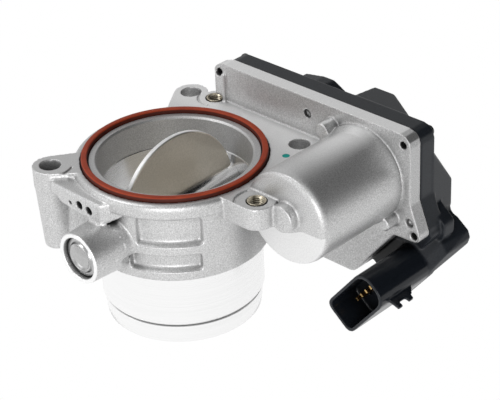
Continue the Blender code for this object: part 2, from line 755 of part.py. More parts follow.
def make_throttle_gear(empty):
    """A toothed sector that reaches from its mesh at rest through the whole travel."""
    mesh_angle = heading((0, SHAFT_Z), IDLER_AXIS)
    pitch = 360 / SECTOR_TEETH
    before = int(SECTOR_SPARE / pitch)
    count = before + 1 + int((TRAVEL + SECTOR_SPARE) / pitch)
    teeth = gear_teeth(SECTOR_TEETH, FIRST_MODULE, mesh_angle, -before, count)
    first = mesh_angle - before * pitch - 6
    last = mesh_angle + (count - 1 - before) * pitch + 6
    body = arc((0, 0), 23.5, last, last, 1)[:1] + arc((0, 0), 6.0, last + 30, first - 30, 8)
    outline = teeth + body + [polar((0, 0), 23.5, first)]
    gear = prism("throttle_gear", [outline], SECTOR_X, ALONG_X, tool=False)
    hub = rod("throttle_hub", (0, 0), (47.4, SECTOR_X[1]), 8.0, sides=32)
    rest_angle = last - 2
    stop_outline = ring_sector(19.0, 23.0, rest_angle - 9, rest_angle, 2)
    stop = prism("throttle_stop_tab", [stop_outline], (47.3, SECTOR_X[0] + 1), ALONG_X)
    outer_edge = arc((0, 0), 20.0, first + 14, last - 14, 8)
    inner_edge = arc((0, 0), 12.0, last - 18, first + 18, 6)
    window_span = (SECTOR_X[0] + 2.5, SECTOR_X[1] + 1)
    window = prism("throttle_gear_pocket", [outer_edge + inner_edge], window_span, ALONG_X)
    bore = rod("throttle_gear_bore", (0, 0), (40.0, 60.0), SHAFT_RADIUS + GAP)
    join(gear, hub, stop)
    cut(gear, window, bore)
    magnet = rod("sensor_magnet", (0, 0), (52.6, 55.8), 4.8, sides=24, tool=False)
    ride(empty, gear, hub, stop, window, bore, magnet)
    finish(gear, "gear_plastic")
    finish(magnet, "magnet")


# Intermediate gear and motor ----------------------------------------------------------------------


def make_intermediate_gear():
    empty = axis_empty("intermediate_axis", IDLER_AXIS)
    to_sector = heading(IDLER_AXIS, (0, SHAFT_Z))
    small_teeth = gear_teeth(SMALL_TEETH, FIRST_MODULE, to_sector + 180 / SMALL_TEETH)
    small = prism("small_wheel", [small_teeth], SMALL_X, ALONG_X)
    large_teeth = gear_teeth(LARGE_TEETH, SECOND_MODULE, heading(IDLER_AXIS, MOTOR_AXIS))
    gear = prism("intermediate_gear", [large_teeth], LARGE_X, ALONG_X, tool=False)
    neck = rod("wheel_neck", (0, 0), (SMALL_X[1] - 1, LARGE_X[0] + 1), 5.6, sides=24)
    dish_profile = [(7, LARGE_X[1] + 1), (18, LARGE_X[1] + 1), (17, 61.8), (8, 61.8)]
    dish = turned("wheel_dish", dish_profile, ALONG_X, 28, ring=True)
    bore = rod("wheel_bore", (0, 0), (45.0, 70.0), PIN_RADIUS + GAP, sides=24)
    join(gear, neck, small)
    cut(gear, dish, bore)
    ride(empty, gear, small, neck, bore)
    dish.parent = empty
    finish(gear, "gear_plastic")


def make_motor_case():
    inner, outer = CAN_RADII
    low, high = CAN_X
    profile = [(outer, high), (outer, low + 1), (outer - 1, low), (4.4, low), (4.4, low + 1.6)]
    profile += [(inner, low + 1.6), (inner, high)]
    matrix = Matrix.Translation((0, MOTOR_AXIS[0] * MM, MOTOR_AXIS[1] * MM)) @ ALONG_X
    finish(turned("motor_can", profile, matrix, 48, ring=True, tool=False), "steel")
    make_sleeve("motor_bush_rear", (low + 0.1, 7.6), 1.9, 4.1, MOTOR_AXIS, "bronze", 20)
    make_sleeve("motor_bush_front", (46.7, 50.2), 1.9, 3.9, MOTOR_AXIS, "bronze", 20)
    plate = rod("motor_end_plate", MOTOR_AXIS, (46.7, 48.4), 18.6, sides=40, tool=False)
    for number, angle in enumerate(MOTOR_SCREW_ANGLES, 1):
        centre = polar(MOTOR_AXIS, MOTOR_SCREW_REACH, angle)
        join(plate, rod("end_plate_ear_%d" % number, centre, (46.7, 48.4), 3.1, sides=20))
        cut(plate, rod("end_plate_hole_%d" % number, centre, (45.0, 50.0), 1.7, sides=16))
        start, end, head = (40.0, *centre), (48.9, *centre), (50.4, *centre)
        make_screw("motor_screw_%d" % number, start, end, head, 1.4, 2.6)
    cut(plate, rod("end_plate_bore", MOTOR_AXIS, (45.0, 50.0), 4.2, sides=24))
    finish(plate, "steel")
    for number, middle in enumerate((0, 180), 1):
        outline = ring_sector(14.0, 15.3, middle - 62, middle + 62, 10)
        magnet = prism("motor_magnet_%d" % number, [outline], (10.0, 36.0), matrix, tool=False)
        finish(magnet, "magnet")


def make_rotor():
    empty = axis_empty("motor_axis", MOTOR_AXIS)
    profile = [(0, 65.0), (1.6, 65.0), (1.6, 42.0), (6.0, 42.0), (6.0, 37.5), (9.0, 35.5), (13.0, 34.0)]
    profile += [(13.0, 12.0), (9.0, 10.5), (1.6, 9.5), (1.6, 4.2), (0, 4.2)]
    rotor = turned("motor_rotor", profile, ALONG_X, 24, tool=False)
    to_idler = heading(MOTOR_AXIS, IDLER_AXIS)
    teeth = gear_teeth(PINION_TEETH, SECOND_MODULE, to_idler + 180 / PINION_TEETH)
    pinion = prism("motor_pinion", [teeth], PINION_X, ALONG_X, tool=False)
    bore = rod("pinion_bore", (0, 0), (50.0, 70.0), 1.9, sides=20)
    cut(pinion, bore)
    ride(empty, rotor, pinion, bore)
    finish(rotor, "copper")
    finish(pinion, "brass")


# Gear cover, connector and sensor ------------------------------------------------------------------


def cover_dome(name, inset, span):
    """The faceted dome over the motor end; inset draws it in for the hollow."""
    base = ((-40.0, 15.0), (-68.7, 15.0), (-79.8, 3.75), (-79.8, -27.0), (-52.0, -50.0), (-40.0, -40.0))
    crest = ((-40.0, 13.5), (-49.4, 13.5), (-78.4, -13.9), (-78.4, -27.0), (-52.0, -47.0), (-40.0, -38.0))
    loops = []
    for outline, x in ((base, span[0]), (crest, span[1])):
        loops += [(x, y, z) for y, z in offset(outline, inset)]
    return hull(name, loops)


def cover_shoulder():
    """The raised shoulder of the cover between the wheel hump and its upper edge."""
    corners = ((-4.0, 2.0, 2.0), (-8.5, 11.4, 2.0), (-18.5, 13.2, 3.0), (-23.5, 13.2, 3.0))
    corners += ((-30.5, 9.6, 2.0), (-38.0, 2.0, 2.0))
    return prism("cover_shoulder", [rounded(corners[::-1])], (COVER_TOP - 1, 66.0), ALONG_X)


def connector_matrix():
    """Local x along the long side of the section, local y away from the gear case, local z +X."""
    notch, corner = CASE_OUTLINE[4], CASE_OUTLINE[5]
    along = Vector((0, notch[0] - corner[0], notch[1] - corner[1])).normalized()
    out = Vector((1, 0, 0)).cross(along)
    basis = Matrix((along, out, Vector((1, 0, 0)))).transposed().to_4x4()
    centre = (0, CONNECTOR_CENTRE[0] * MM, CONNECTOR_CENTRE[1] * MM)
    return Matrix.Translation(centre) @ basis


def connector_point(matrix, local):
    return matrix.to_3x3() @ Vector(local) + matrix.translation / MM


def shroud_section(inset=0.0):
    """The section of the shroud, rounder at the end next to the cover tab."""
    u, v = (half - inset for half in CONNECTOR_OUTSIDE)
    round_end, tight_end = 5.6 - inset * 0.5, 3.2 - inset * 0.5
    corners = ((u, v, round_end), (-u, v, tight_end), (-u, -v, tight_end), (u, -v, round_end))
    return rounded(corners, 4)


def connector_solids(matrix):
    shroud = prism("connector_shroud", [shroud_section()], (CONNECTOR_MOUTH, CONNECTOR_STEP + 4), matrix)
    front = [(u, v, CONNECTOR_STEP) for u, v in shroud_section(0.2)]
    middle = [(u, v, CONNECTOR_SHOULDER) for u, v in ((19.8, -7.6), (20.0, 1.5), (18.6, 5.4))]
    back = ((21.2, -8.0), (21.6, 2.3), (20.0, 4.9), (17.2, 6.1), (-3.5, 6.1), (-6.0, 3.5), (-6.0, -8.0))
    behind = [(u, v, CONNECTOR_BACK) for u, v in back]
    corners = [connector_point(matrix, corner) for corner in front + middle + behind]
    block = hull("connector_block", corners)
    bridge_outline = ((8.5, -3.0), (-12.5, -3.0), (-12.5, -15.0), (8.5, -15.0))
    bridge = prism("connector_bridge", [bridge_outline], (COVER_RIM + 1.5, 66.0), matrix)
    return [shroud, block, bridge]


def fin(name, matrix, thickness, low_edge, high_edge):
    """A fin that leans outwards from the shroud; each edge is (reach, first x, last x)."""
    lean = Vector((math.sin(math.radians(HOOK_LEAN)), math.cos(math.radians(HOOK_LEAN)), 0))
    across = Vector((lean.y, -lean.x, 0)) * thickness / 2
    root_u, root_v = CONNECTOR_OUTSIDE[0] - 3.5, CONNECTOR_OUTSIDE[1] - 1.0
    corners = []
    for reach, first, last in (low_edge, high_edge):
        for x in (first, last):
            for side in (-1, 1):
                local = Vector((root_u, root_v, x)) + lean * reach + across * side
                corners.append(connector_point(matrix, local))
    return hull(name, corners)


def latch_hooks(matrix):
    """A thin plate on the outer edge of the shroud that ends in two fingers."""
    plate = fin("latch_plate", matrix, 1.0, (-1.5, 26.9, 41.6), (3.4, 27.3, 36.4))
    first = fin("latch_finger_1", matrix, 1.3, (-1.2, 26.2, 29.6), (5.6, 26.2, 28.6))
    second = fin("latch_finger_2", matrix, 1.3, (0.6, 32.4, 35.8), (5.4, 32.4, 35.2))
    return [plate, first, second]


def make_connector_pins(cover, matrix):
    for number in range(PIN_COUNT):
        u = (number - (PIN_COUNT - 1) / 2) * PIN_PITCH
        low, high = PIN_ROW - 1.1, PIN_ROW + 1.1
        slot = [(u + 0.75, low), (u + 0.75, high), (u - 0.75, high), (u - 0.75, low)]
        span = (CONNECTOR_FLOOR - 1, PIN_X[1] + 0.5)
        cut(cover, prism("pin_slot_%d" % number, [slot], span, matrix))
        blade = offset([(u + 0.75, low), (u + 0.75, high), (u - 0.75, high), (u - 0.75, low)], 0.35)
        pin = prism("connector_pin_%d" % (number + 1), [blade], PIN_X, matrix, tool=False)
        finish(pin, "gold")


def make_cover():
    corners = [(min(y, 20.4), min(z, 16.0 - COVER_DROP), radius) for y, z, radius in CASE_OUTLINE]
    inside = rounded(CASE_INSIDE)
    cover = prism("gear_cover", [rounded(corners)], (COVER_RIM, COVER_TOP), ALONG_X, tool=False)
    bevel(cover, 0.8, 2)
    matrix = connector_matrix()
    pad = rod("sensor_pad", (0, SHAFT_Z), (COVER_TOP - 1, 61.5), 12.4, 11.6, sides=32)
    hump = rod("wheel_hump", IDLER_AXIS, (COVER_TOP - 1, 68.0), 26.0, 25.2, sides=48)
    dome = cover_dome("motor_dome", 0.0, (COVER_TOP - 1, 71.0))
    low_tab = prism("low_tab", [rounded(TAB_LOW)], (COVER_RIM + 0.6, 57.5), ALONG_X)
    high_tab = prism("high_tab", [rounded(TAB_HIGH)], (56.6, 63.0), ALONG_X)
    join(cover, pad, hump, dome, cover_shoulder(), low_tab, high_tab, *connector_solids(matrix))
    join(cover, *latch_hooks(matrix))
    room = prism("cover_room", [inside], (COVER_RIM - 2, COVER_INSIDE), ALONG_X)
    pad_room = rod("sensor_room", (0, SHAFT_Z), (COVER_RIM, 59.8), 9.8, sides=32)
    wheel_room = rod("wheel_room", IDLER_AXIS, (COVER_RIM, 66.0), 23.6, sides=48)
    dome_room = cover_dome("dome_room", 3.0, (COVER_TOP - 4, 68.6))
    mouth_span = (CONNECTOR_MOUTH - 3, CONNECTOR_FLOOR)
    mouth = prism("connector_mouth", [shroud_section(CONNECTOR_WALL)], mouth_span, matrix)
    cut(cover, room, pad_room, wheel_room, dome_room, mouth)
    join(cover, rod("pin_socket", IDLER_AXIS, (63.9, 67.0), 5.0, sides=20))
    cut(cover, rod("pin_socket_hole", IDLER_AXIS, (60.0, 65.8), PIN_RADIUS + GAP, sides=20))
    for number, centre in enumerate(COVER_SCREWS, 1):
        cut(cover, rod("cover_hole_%d" % number, centre, (45.0, 60.0), SCREW_HOLE_RADIUS, sides=16))
        span = (COVER_TOP - COUNTERSINK, CONNECTOR_BACK + 4)
        cut(cover, rod("cover_seat_%d" % number, centre, span, SCREW_HEAD[0] + 0.4))
    make_connector_pins(cover, matrix)
    finish(cover, "black_plastic")


def make_sensor_board():
    board = rod("sensor_board", (0, SHAFT_Z), (58.0, 59.4), 9.4, sides=32, tool=False)
    chip = box("sensor_chip", (56.9, -3.0, SHAFT_Z - 3.0), (58.4, 3.0, SHAFT_Z + 3.0))
    finish(join(board, chip), "circuit_board")


clear_scene()
PARTS = new_collection("throttle_body")
TOOLS = new_collection("cutters")
TOOLS.hide_render = True
LOOKS = {
    "cast_aluminium": material("cast_aluminium", (0.62, 0.62, 0.63), 0.42, 0.9),
    "silicone": material("silicone", (0.30, 0.055, 0.03), 0.55),
    "brass": material("brass", (0.72, 0.55, 0.25), 0.35, 1.0),
    "bronze": material("bronze", (0.55, 0.36, 0.2), 0.45, 1.0),
    "copper": material("copper", (0.6, 0.3, 0.18), 0.4, 1.0),
    "steel": material("steel", (0.62, 0.61, 0.59), 0.3, 1.0),
    "valve_metal": material("valve_metal", (0.42, 0.38, 0.35), 0.4, 0.9),
    "magnet": material("magnet", (0.08, 0.08, 0.085), 0.6, 0.3),
    "gear_plastic": material("gear_plastic", (0.75, 0.72, 0.64), 0.5),
    "black_plastic": material("black_plastic", (0.03, 0.032, 0.036), 0.45),
    "rubber": material("rubber", (0.02, 0.02, 0.02), 0.7),
    "gold": material("gold", (0.85, 0.6, 0.25), 0.25, 1.0),
    "circuit_board": material("circuit_board", (0.03, 0.16, 0.07), 0.5),
}
make_housing()
make_bore_seal()
make_inserts()
make_end_plug()
make_shaft_supports()
make_return_spring()
make_cover_screws()
make_stop_screw()
make_intermediate_pin()
make_cover_seal()
make_throttle_gear(make_throttle())
make_intermediate_gear()
make_motor_case()
make_rotor()
make_cover()
make_sensor_board()
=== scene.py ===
import json
import math

import bmesh
import bpy
import numpy as np
from mathutils import Matrix, Vector


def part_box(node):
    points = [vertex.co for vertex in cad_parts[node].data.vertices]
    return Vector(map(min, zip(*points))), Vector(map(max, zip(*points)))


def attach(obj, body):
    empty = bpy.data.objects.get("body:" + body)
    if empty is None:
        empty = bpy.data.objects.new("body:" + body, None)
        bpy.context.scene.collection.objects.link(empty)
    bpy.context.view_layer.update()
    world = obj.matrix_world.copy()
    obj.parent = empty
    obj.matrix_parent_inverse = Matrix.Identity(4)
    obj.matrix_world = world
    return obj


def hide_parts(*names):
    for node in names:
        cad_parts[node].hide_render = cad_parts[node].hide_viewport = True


# The frame is in metres: the origin is the bore axis at the flange top, +Z runs up the bore and
# +X along the throttle shaft towards the gear case. Sizes below are in millimetres, times MM.
MM = 0.001
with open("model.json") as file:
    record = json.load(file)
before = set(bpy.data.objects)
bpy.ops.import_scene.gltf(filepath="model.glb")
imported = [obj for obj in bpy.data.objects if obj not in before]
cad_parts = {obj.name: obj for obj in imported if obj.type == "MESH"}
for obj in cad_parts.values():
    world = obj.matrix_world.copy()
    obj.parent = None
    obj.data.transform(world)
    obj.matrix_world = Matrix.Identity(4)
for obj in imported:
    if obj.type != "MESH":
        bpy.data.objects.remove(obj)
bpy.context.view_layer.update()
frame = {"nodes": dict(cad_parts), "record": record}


def low(node):
    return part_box(node)[0] / MM


def high(node):
    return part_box(node)[1] / MM


def middle(node):
    return (low(node) + high(node)) / 2


# Places and sizes read from the frame.
SHAFT_Z = middle("throttle_shaft").z
SHAFT_RADIUS = (high("throttle_shaft").z - low("throttle_shaft").z) / 2
SEAL_OUTER = high("bore_seal").x
SEAL_TOP = high("bore_seal").z
PLATE_RADIUS = high("throttle_plate").x
SPIGOT_END = low("housing").z
BOSS_END = low("housing").x
MOTOR = middle("motor_can")
PLUG = middle("shaft_end_plug")

# Sizes that the boxes don't give. OPEN_ANGLE is the plate's angle from lying flat, at rest and in
# degrees, and WEB_HOLES are the (y, z) centres of the holes in the web beside the shaft boss.
BORE_RADIUS = 30.0
VALVE_BORE_RADIUS = 29.7
VALVE_BORE_TOP = -12.4
CORE_RADIUS = 31.4
BARREL_RADIUS = 35.5
BARREL_END = -35.2
FLANGE_RADIUS = 39.2
SEAL_WIDTH = 2.6
SEAL_INNER = SEAL_OUTER - SEAL_WIDTH
GROOVE_GAP = 0.3
GROOVE_INNER = SEAL_INNER - GROOVE_GAP
GROOVE_BOTTOM = -2.6
PLATE_THICKNESS = 2.4
OPEN_ANGLE = 88.0
MOTOR_RADIUS = 19.5
GASKET_PROUD = 0.15
CASE_RIM = high("cover_seal").x - GASKET_PROUD
CASE_DEPTH = 6.0
CASE_FRONT = CASE_RIM - CASE_DEPTH
WEB_HOLES = ((14.0, -7.6), (8.8, -6.9), (3.6, -7.4))

# The spigot, its bevel and the notch that runs around it under the bevel.
SPIGOT_RADIUS = 32.3
SPIGOT_BEVEL = -57.5
NOSE_RADIUS = 31.6
NOSE_END_RADIUS = 30.9
NOTCH_DEPTH = 0.6

# Details that the CAD leaves out. EASE_ANGLE is where the motor tube is drawn in most, in degrees
# from +Y towards +Z around its axis.
TUBE_EASE = 1.3
EASE_ANGLE = 60
STEP_DEPTH = 0.85
STEP_TOP = -8.7
STEP_INSIDE = -41.0
MARK_DEPTH = 0.7
THREAD_PITCH = 0.8
PAINT_DOT = (26.0, -33.75, 0.0)
PAINT_RADIUS = 1.6
# Along x, between the next two values the faced top brightens from the flange to the deck: painted
# light.
LIT_DECK_RAMP_START = 10.0
LIT_DECK_RAMP_END = 34.0

# Mesh work: voxel sizes, how far a vertex may be from the true surface that it is moved to, how
# far a cutter stands out, and in metres how close two vertices are joined.
VOXEL = 0.42
COVER_VOXEL = 0.38
SNAP_REACH = 0.3
TOP_REACH = 0.16
OVERSHOOT = 5
JOIN_DISTANCE = 1e-7
SHARP_ANGLE = 32
ARC_STEPS = 24

# ALONG_X turns flat (u, v) corners and height along Z into (y, z) and height along X.
ALONG_Z = Matrix.Identity(4)
ALONG_X = Matrix(((0, 0, 1, 0), (1, 0, 0, 0), (0, 1, 0, 0), (0, 0, 0, 1)))

# Noise: cells in a millimetre, and the values between which it changes the tone.
CAST_GRAIN = 2.4
PLASTIC_GRAIN = 1.8
NOISE_LOW = 0.3
NOISE_HIGH = 0.7

# Sockets of a Mix node that mixes colours.
MIX_FIRST = 6
MIX_SECOND = 7
MIX_RESULT = 2

# Stage: levels of brightness are 1 for white, and DIM_SIDE points to the middle of the dark side.
# A light is its name, place, aim, size and power, in metres and watts.
FLOOR_REACH = 3000
FLOOR_GAP = 0.4
FLOOR_SEEN = 1.0
FLOOR_CAST = 0.95
DIM_SIDE = (0.6, -0.5, 0.6)
DIM_SPREAD = (0.35, 0.9)
ROOM_BRIGHT = 0.68
ROOM_DIM = 0.0
LIGHTS = (
    ("key", (-0.45, 0.35, 0.8), (0, 0, -0.02), (0.4, 0.4), 2.0),
    ("left", (-0.7, 0.35, -0.02), (0, 0, -0.03), (0.4, 0.4), 0.6),
    ("front", (-0.75, -0.55, 0.1), (0, -0.02, -0.02), (0.5, 0.4), 2.8),
)

# The camera: its direction from the origin in degrees around +Z from +X and above level, its roll,
# and its place along its own three axes in millimetres.
CAMERA_TURN = -135.1
CAMERA_RISE = 30.9
CAMERA_ROLL = -2.7
CAMERA_PLACE = (28.692, -17.557, 649.186)
SENSOR_WIDTH = 36.0
FOCAL_LENGTH = 122.4


# Mesh helpers ------------------------------------------------------------------------------------


def add_object(name, data):
    obj = bpy.data.objects.new(name, data)
    bpy.context.scene.collection.objects.link(obj)
    return obj


def object_from(bm, name):
    mesh = bpy.data.meshes.new(name)
    bm.to_mesh(mesh)
    bm.free()
    return add_object(name, mesh)


def put_in_place(bm, matrix):
    """Turns the faces outwards and moves the mesh to where it belongs."""
    bmesh.ops.recalc_face_normals(bm, faces=bm.faces)
    bmesh.ops.transform(bm, matrix=matrix, verts=bm.verts)


def wear(obj, material):
    obj.data.materials.clear()
    obj.data.materials.append(material)


def smooth_by_angle(obj):
    obj.data.shade_smooth()
    obj.data.set_sharp_from_angle(angle=math.radians(SHARP_ANGLE))
    return obj


def along_x(centre_y, centre_z, direction=1):
    """Places a turned profile so that its height runs along X from x = 0."""
    turn = Matrix.Rotation(math.radians(90 * direction), 4, "Y")
    return Matrix.Translation((0, centre_y * MM, centre_z * MM)) @ turn


def lathe(name, profile, matrix=ALONG_Z, steps=160, ring=False):
    """Turns (radius, height) points about local Z; ring closes the profile on itself."""
    bm = bmesh.new()
    loops = []
    for radius, height in profile:
        if radius == 0:
            loops.append([bm.verts.new((0, 0, height * MM))])
            continue
        loop = []
        for i in range(steps):
            angle = math.tau * i / steps
            x, y = radius * math.cos(angle), radius * math.sin(angle)
            loop.append(bm.verts.new((x * MM, y * MM, height * MM)))
        loops.append(loop)
    pairs = list(zip(loops, loops[1:])) + ([(loops[-1], loops[0])] if ring else [])
    for first, second in pairs:
        for i in range(steps):
            j = (i + 1) % steps
            corners = [first[i % len(first)], first[j % len(first)]]
            corners += [second[j % len(second)], second[i % len(second)]]
            unique = list(dict.fromkeys(corners))
            if len(unique) > 2:
                bm.faces.new(unique)
    put_in_place(bm, matrix)
    return smooth_by_angle(object_from(bm, name))


def block(name, corners, span, matrix=ALONG_Z):
    """A prism over flat corners (u, v), from span[0] to span[1] along local Z."""
    bm = bmesh.new()
    face = bm.faces.new([bm.verts.new((u * MM, v * MM, span[0] * MM)) for u, v in corners])
    made = bmesh.ops.extrude_face_region(bm, geom=[face])
    lifted = [v for v in made["geom"] if isinstance(v, bmesh.types.BMVert)]
    bmesh.ops.translate(bm, vec=(0, 0, (span[1] - span[0]) * MM), verts=lifted)
    put_in_place(bm, matrix)
    return object_from(bm, name)


def arc(centre, radius, first, last, steps):
    """Points on an arc from the first to the last angle, in degrees."""
    points = []
    for i in range(steps + 1):
        angle = math.radians(first + (last - first) * i / steps)
        points.append((centre[0] + radius * math.cos(angle), centre[1] + radius * math.sin(angle)))
    return points


def arc_band(centre, inner, outer, first, last):
    """The outline between two arcs around the same centre."""
    there = arc(centre, outer, first, last, ARC_STEPS)
    return there + arc(centre, inner, last, first, ARC_STEPS)


def closed_copy(node, name):
    """A copy of a CAD node's mesh with its split vertices joined again."""
    bm = bmesh.new()
    bm.from_mesh(frame["nodes"][node].data)
    bmesh.ops.remove_doubles(bm, verts=bm.verts, dist=JOIN_DISTANCE)
    return object_from(bm, name)


def carve(obj, tools, operation="DIFFERENCE"):
    """Cuts the tools from the object, or joins them to it, and removes them."""
    for tool in tools:
        modifier = obj.modifiers.new(tool.name, "BOOLEAN")
        modifier.operation = operation
        modifier.object = tool
    settle(obj)
    for tool in tools:
        bpy.data.objects.remove(tool, do_unlink=True)


def settle(obj):
    """Turns the evaluated mesh into the object's own mesh."""
    graph = bpy.context.evaluated_depsgraph_get()
    mesh = bpy.data.meshes.new_from_object(obj.evaluated_get(graph))
    obj.modifiers.clear()
    obj.data = mesh


def remesh(obj, size):
    modifier = obj.modifiers.new("voxels", "REMESH")
    modifier.mode = "VOXEL"
    modifier.voxel_size = size * MM
    settle(obj)


def coordinates(obj):
    points = np.empty(len(obj.data.vertices) * 3, np.float32)
    obj.data.vertices.foreach_get("co", points)
    return points.reshape(-1, 3).astype(np.float64) / MM


def relax(obj, amount, rounds):
    """Laplacian smoothing; amount is 0 to 1 for each vertex."""
    points = coordinates(obj)
    edges = np.empty(len(obj.data.edges) * 2, np.int32)
    obj.data.edges.foreach_get("vertices", edges)
    first, second = edges.reshape(-1, 2).T
    degree = np.bincount(first, minlength=len(points)) + np.bincount(second, minlength=len(points))
    for _ in range(rounds):
        total = np.zeros_like(points)
        for axis in range(3):
            total[:, axis] = np.bincount(first, points[second, axis], len(points))
            total[:, axis] += np.bincount(second, points[first, axis], len(points))
        mean = total / degree[:, None]
        points += (mean - points) * amount[:, None]
    return points


def rise(values, start, end):
    """0 up to start and 1 from end on, with a straight slope between them."""
    return np.clip((values - start) / (end - start), 0, 1)


def put_back(obj, points):
    obj.data.vertices.foreach_set("co", (points * MM).astype(np.float32).ravel())
    obj.data.update()


# Material helpers --------------------------------------------------------------------------------


class Nodes:
    """Builds one node material around its Principled shader."""

    def __init__(self, name, roughness, metallic=0.0):
        self.material = bpy.data.materials.new(name)
        self.material.use_nodes = True
        self.tree = self.material.node_tree
        self.shader = self.tree.nodes["Principled BSDF"]
        self.shader.inputs["Roughness"].default_value = roughness
        self.shader.inputs["Metallic"].default_value = metallic
        self.place = self.tree.nodes.new("ShaderNodeTexCoord").outputs["Object"]

    def link(self, start, end):
        self.tree.links.new(start, end)

    def noise(self, per_mm, detail=3.0, stretch=(1, 1, 1)):
        """Noise from 0 to 1 with about per_mm cells in a millimetre of the object."""
        mapping = self.tree.nodes.new("ShaderNodeMapping")
        mapping.inputs["Scale"].default_value = stretch
        texture = self.tree.nodes.new("ShaderNodeTexNoise")
        texture.inputs["Scale"].default_value = per_mm / MM
        texture.inputs["Detail"].default_value = detail
        self.link(self.place, mapping.inputs["Vector"])
        self.link(mapping.outputs["Vector"], texture.inputs["Vector"])
        return texture.outputs["Fac"]

    def ramp(self, value, stops):
        """stops are (position, colour or grey level)."""
        node = self.tree.nodes.new("ShaderNodeValToRGB")
        while len(node.color_ramp.elements) < len(stops):
            node.color_ramp.elements.new(0.5)
        for element, (position, colour) in zip(node.color_ramp.elements, stops):
            element.position = position
            grey = (colour, colour, colour)
            element.color = (*(colour if isinstance(colour, tuple) else grey), 1)
        self.link(value, node.inputs["Fac"])
        return node.outputs["Color"]

    def tones(self, value, first, last):
        """A ramp over the middle of a noise."""
        return self.ramp(value, [(NOISE_LOW, first), (NOISE_HIGH, last)])

    def blend(self, kind, first, second):
        node = self.tree.nodes.new("ShaderNodeMix")
        node.data_type = "RGBA"
        node.blend_type = kind
        self.link(first, node.inputs[MIX_FIRST])
        self.link(second, node.inputs[MIX_SECOND])
        return node

    def mix(self, share, first, second):
        """The first colour where share is 0, the second where it is 1."""
        node = self.blend("MIX", first, second)
        self.link(share, node.inputs["Factor"])
        return node.outputs[MIX_RESULT]

    def coordinate(self, axis):
        node = self.tree.nodes.new("ShaderNodeSeparateXYZ")
        self.link(self.place, node.inputs["Vector"])
        return node.outputs[axis]

    def between(self, value, start, end):
        """0 at start and 1 at end, in millimetres; the gap between them is a zone's soft edge."""
        node = self.tree.nodes.new("ShaderNodeMapRange")
        node.inputs["From Min"].default_value = start * MM
        node.inputs["From Max"].default_value = end * MM
        self.link(value, node.inputs["Value"])
        return node.outputs["Result"]

    def level(self, grey):
        node = self.tree.nodes.new("ShaderNodeRGB")
        node.outputs[0].default_value = (grey, grey, grey, 1)
        return node.outputs[0]

    def crevice_shade(self, colour, reach):
        """Painted shade: darkens the colour where surfaces closer than reach millimetres face each
        other.
        """
        node = self.tree.nodes.new("ShaderNodeAmbientOcclusion")
        node.inputs["Distance"].default_value = reach * MM
        openness = node.outputs["AO"]
        share = self.ramp(openness, [(0.28, 0.10), (0.6, 0.78), (0.85, 1.0)])
        shaded = self.blend("MULTIPLY", colour, share)
        shaded.inputs["Factor"].default_value = 1.0
        return shaded.outputs[MIX_RESULT]

    def times(self, first, second):
        node = self.tree.nodes.new("ShaderNodeMath")
        node.operation = "MULTIPLY"
        self.link(first, node.inputs[0])
        self.link(second, node.inputs[1])
        return node.outputs["Value"]

    def distance_from(self, point):
        node = self.tree.nodes.new("ShaderNodeVectorMath")
        node.operation = "DISTANCE"
        node.inputs[1].default_value = [c * MM for c in point]
        self.link(self.place, node.inputs[0])
        return node.outputs["Value"]

    def off_axis(self):
        """Distance from the bore axis."""
        flat = self.tree.nodes.new("ShaderNodeVectorMath")
        flat.operation = "MULTIPLY"
        flat.inputs[1].default_value = (1, 1, 0)
        length = self.tree.nodes.new("ShaderNodeVectorMath")
        length.operation = "LENGTH"
        self.link(self.place, flat.inputs[0])
        self.link(flat.outputs["Vector"], length.inputs[0])
        return length.outputs["Value"]

    def facing_up(self):
        """1 on faces that look up within 14 degrees, falling to 0 at 26 degrees."""
        least, full = 0.9, 0.97
        geometry = self.tree.nodes.new("ShaderNodeNewGeometry")
        split = self.tree.nodes.new("ShaderNodeSeparateXYZ")
        self.link(geometry.outputs["Normal"], split.inputs["Vector"])
        node = self.tree.nodes.new("ShaderNodeMapRange")
        node.inputs["From Min"].default_value = least
        node.inputs["From Max"].default_value = full
        self.link(split.outputs["Z"], node.inputs["Value"])
        return node.outputs["Result"]

    def bump(self, height, depth):
        """depth is the height of the relief in millimetres."""
        node = self.tree.nodes.new("ShaderNodeBump")
        node.inputs["Strength"].default_value = 1.0
        node.inputs["Distance"].default_value = depth * MM
        self.link(height, node.inputs["Height"])
        self.link(node.outputs["Normal"], self.shader.inputs["Normal"])

    def specular(self, amount):
        self.shader.inputs["Specular IOR Level"].default_value = amount

    def colour(self, output):
        self.link(output, self.shader.inputs["Base Color"])

    def roughness(self, output):
        self.link(output, self.shader.inputs["Roughness"])


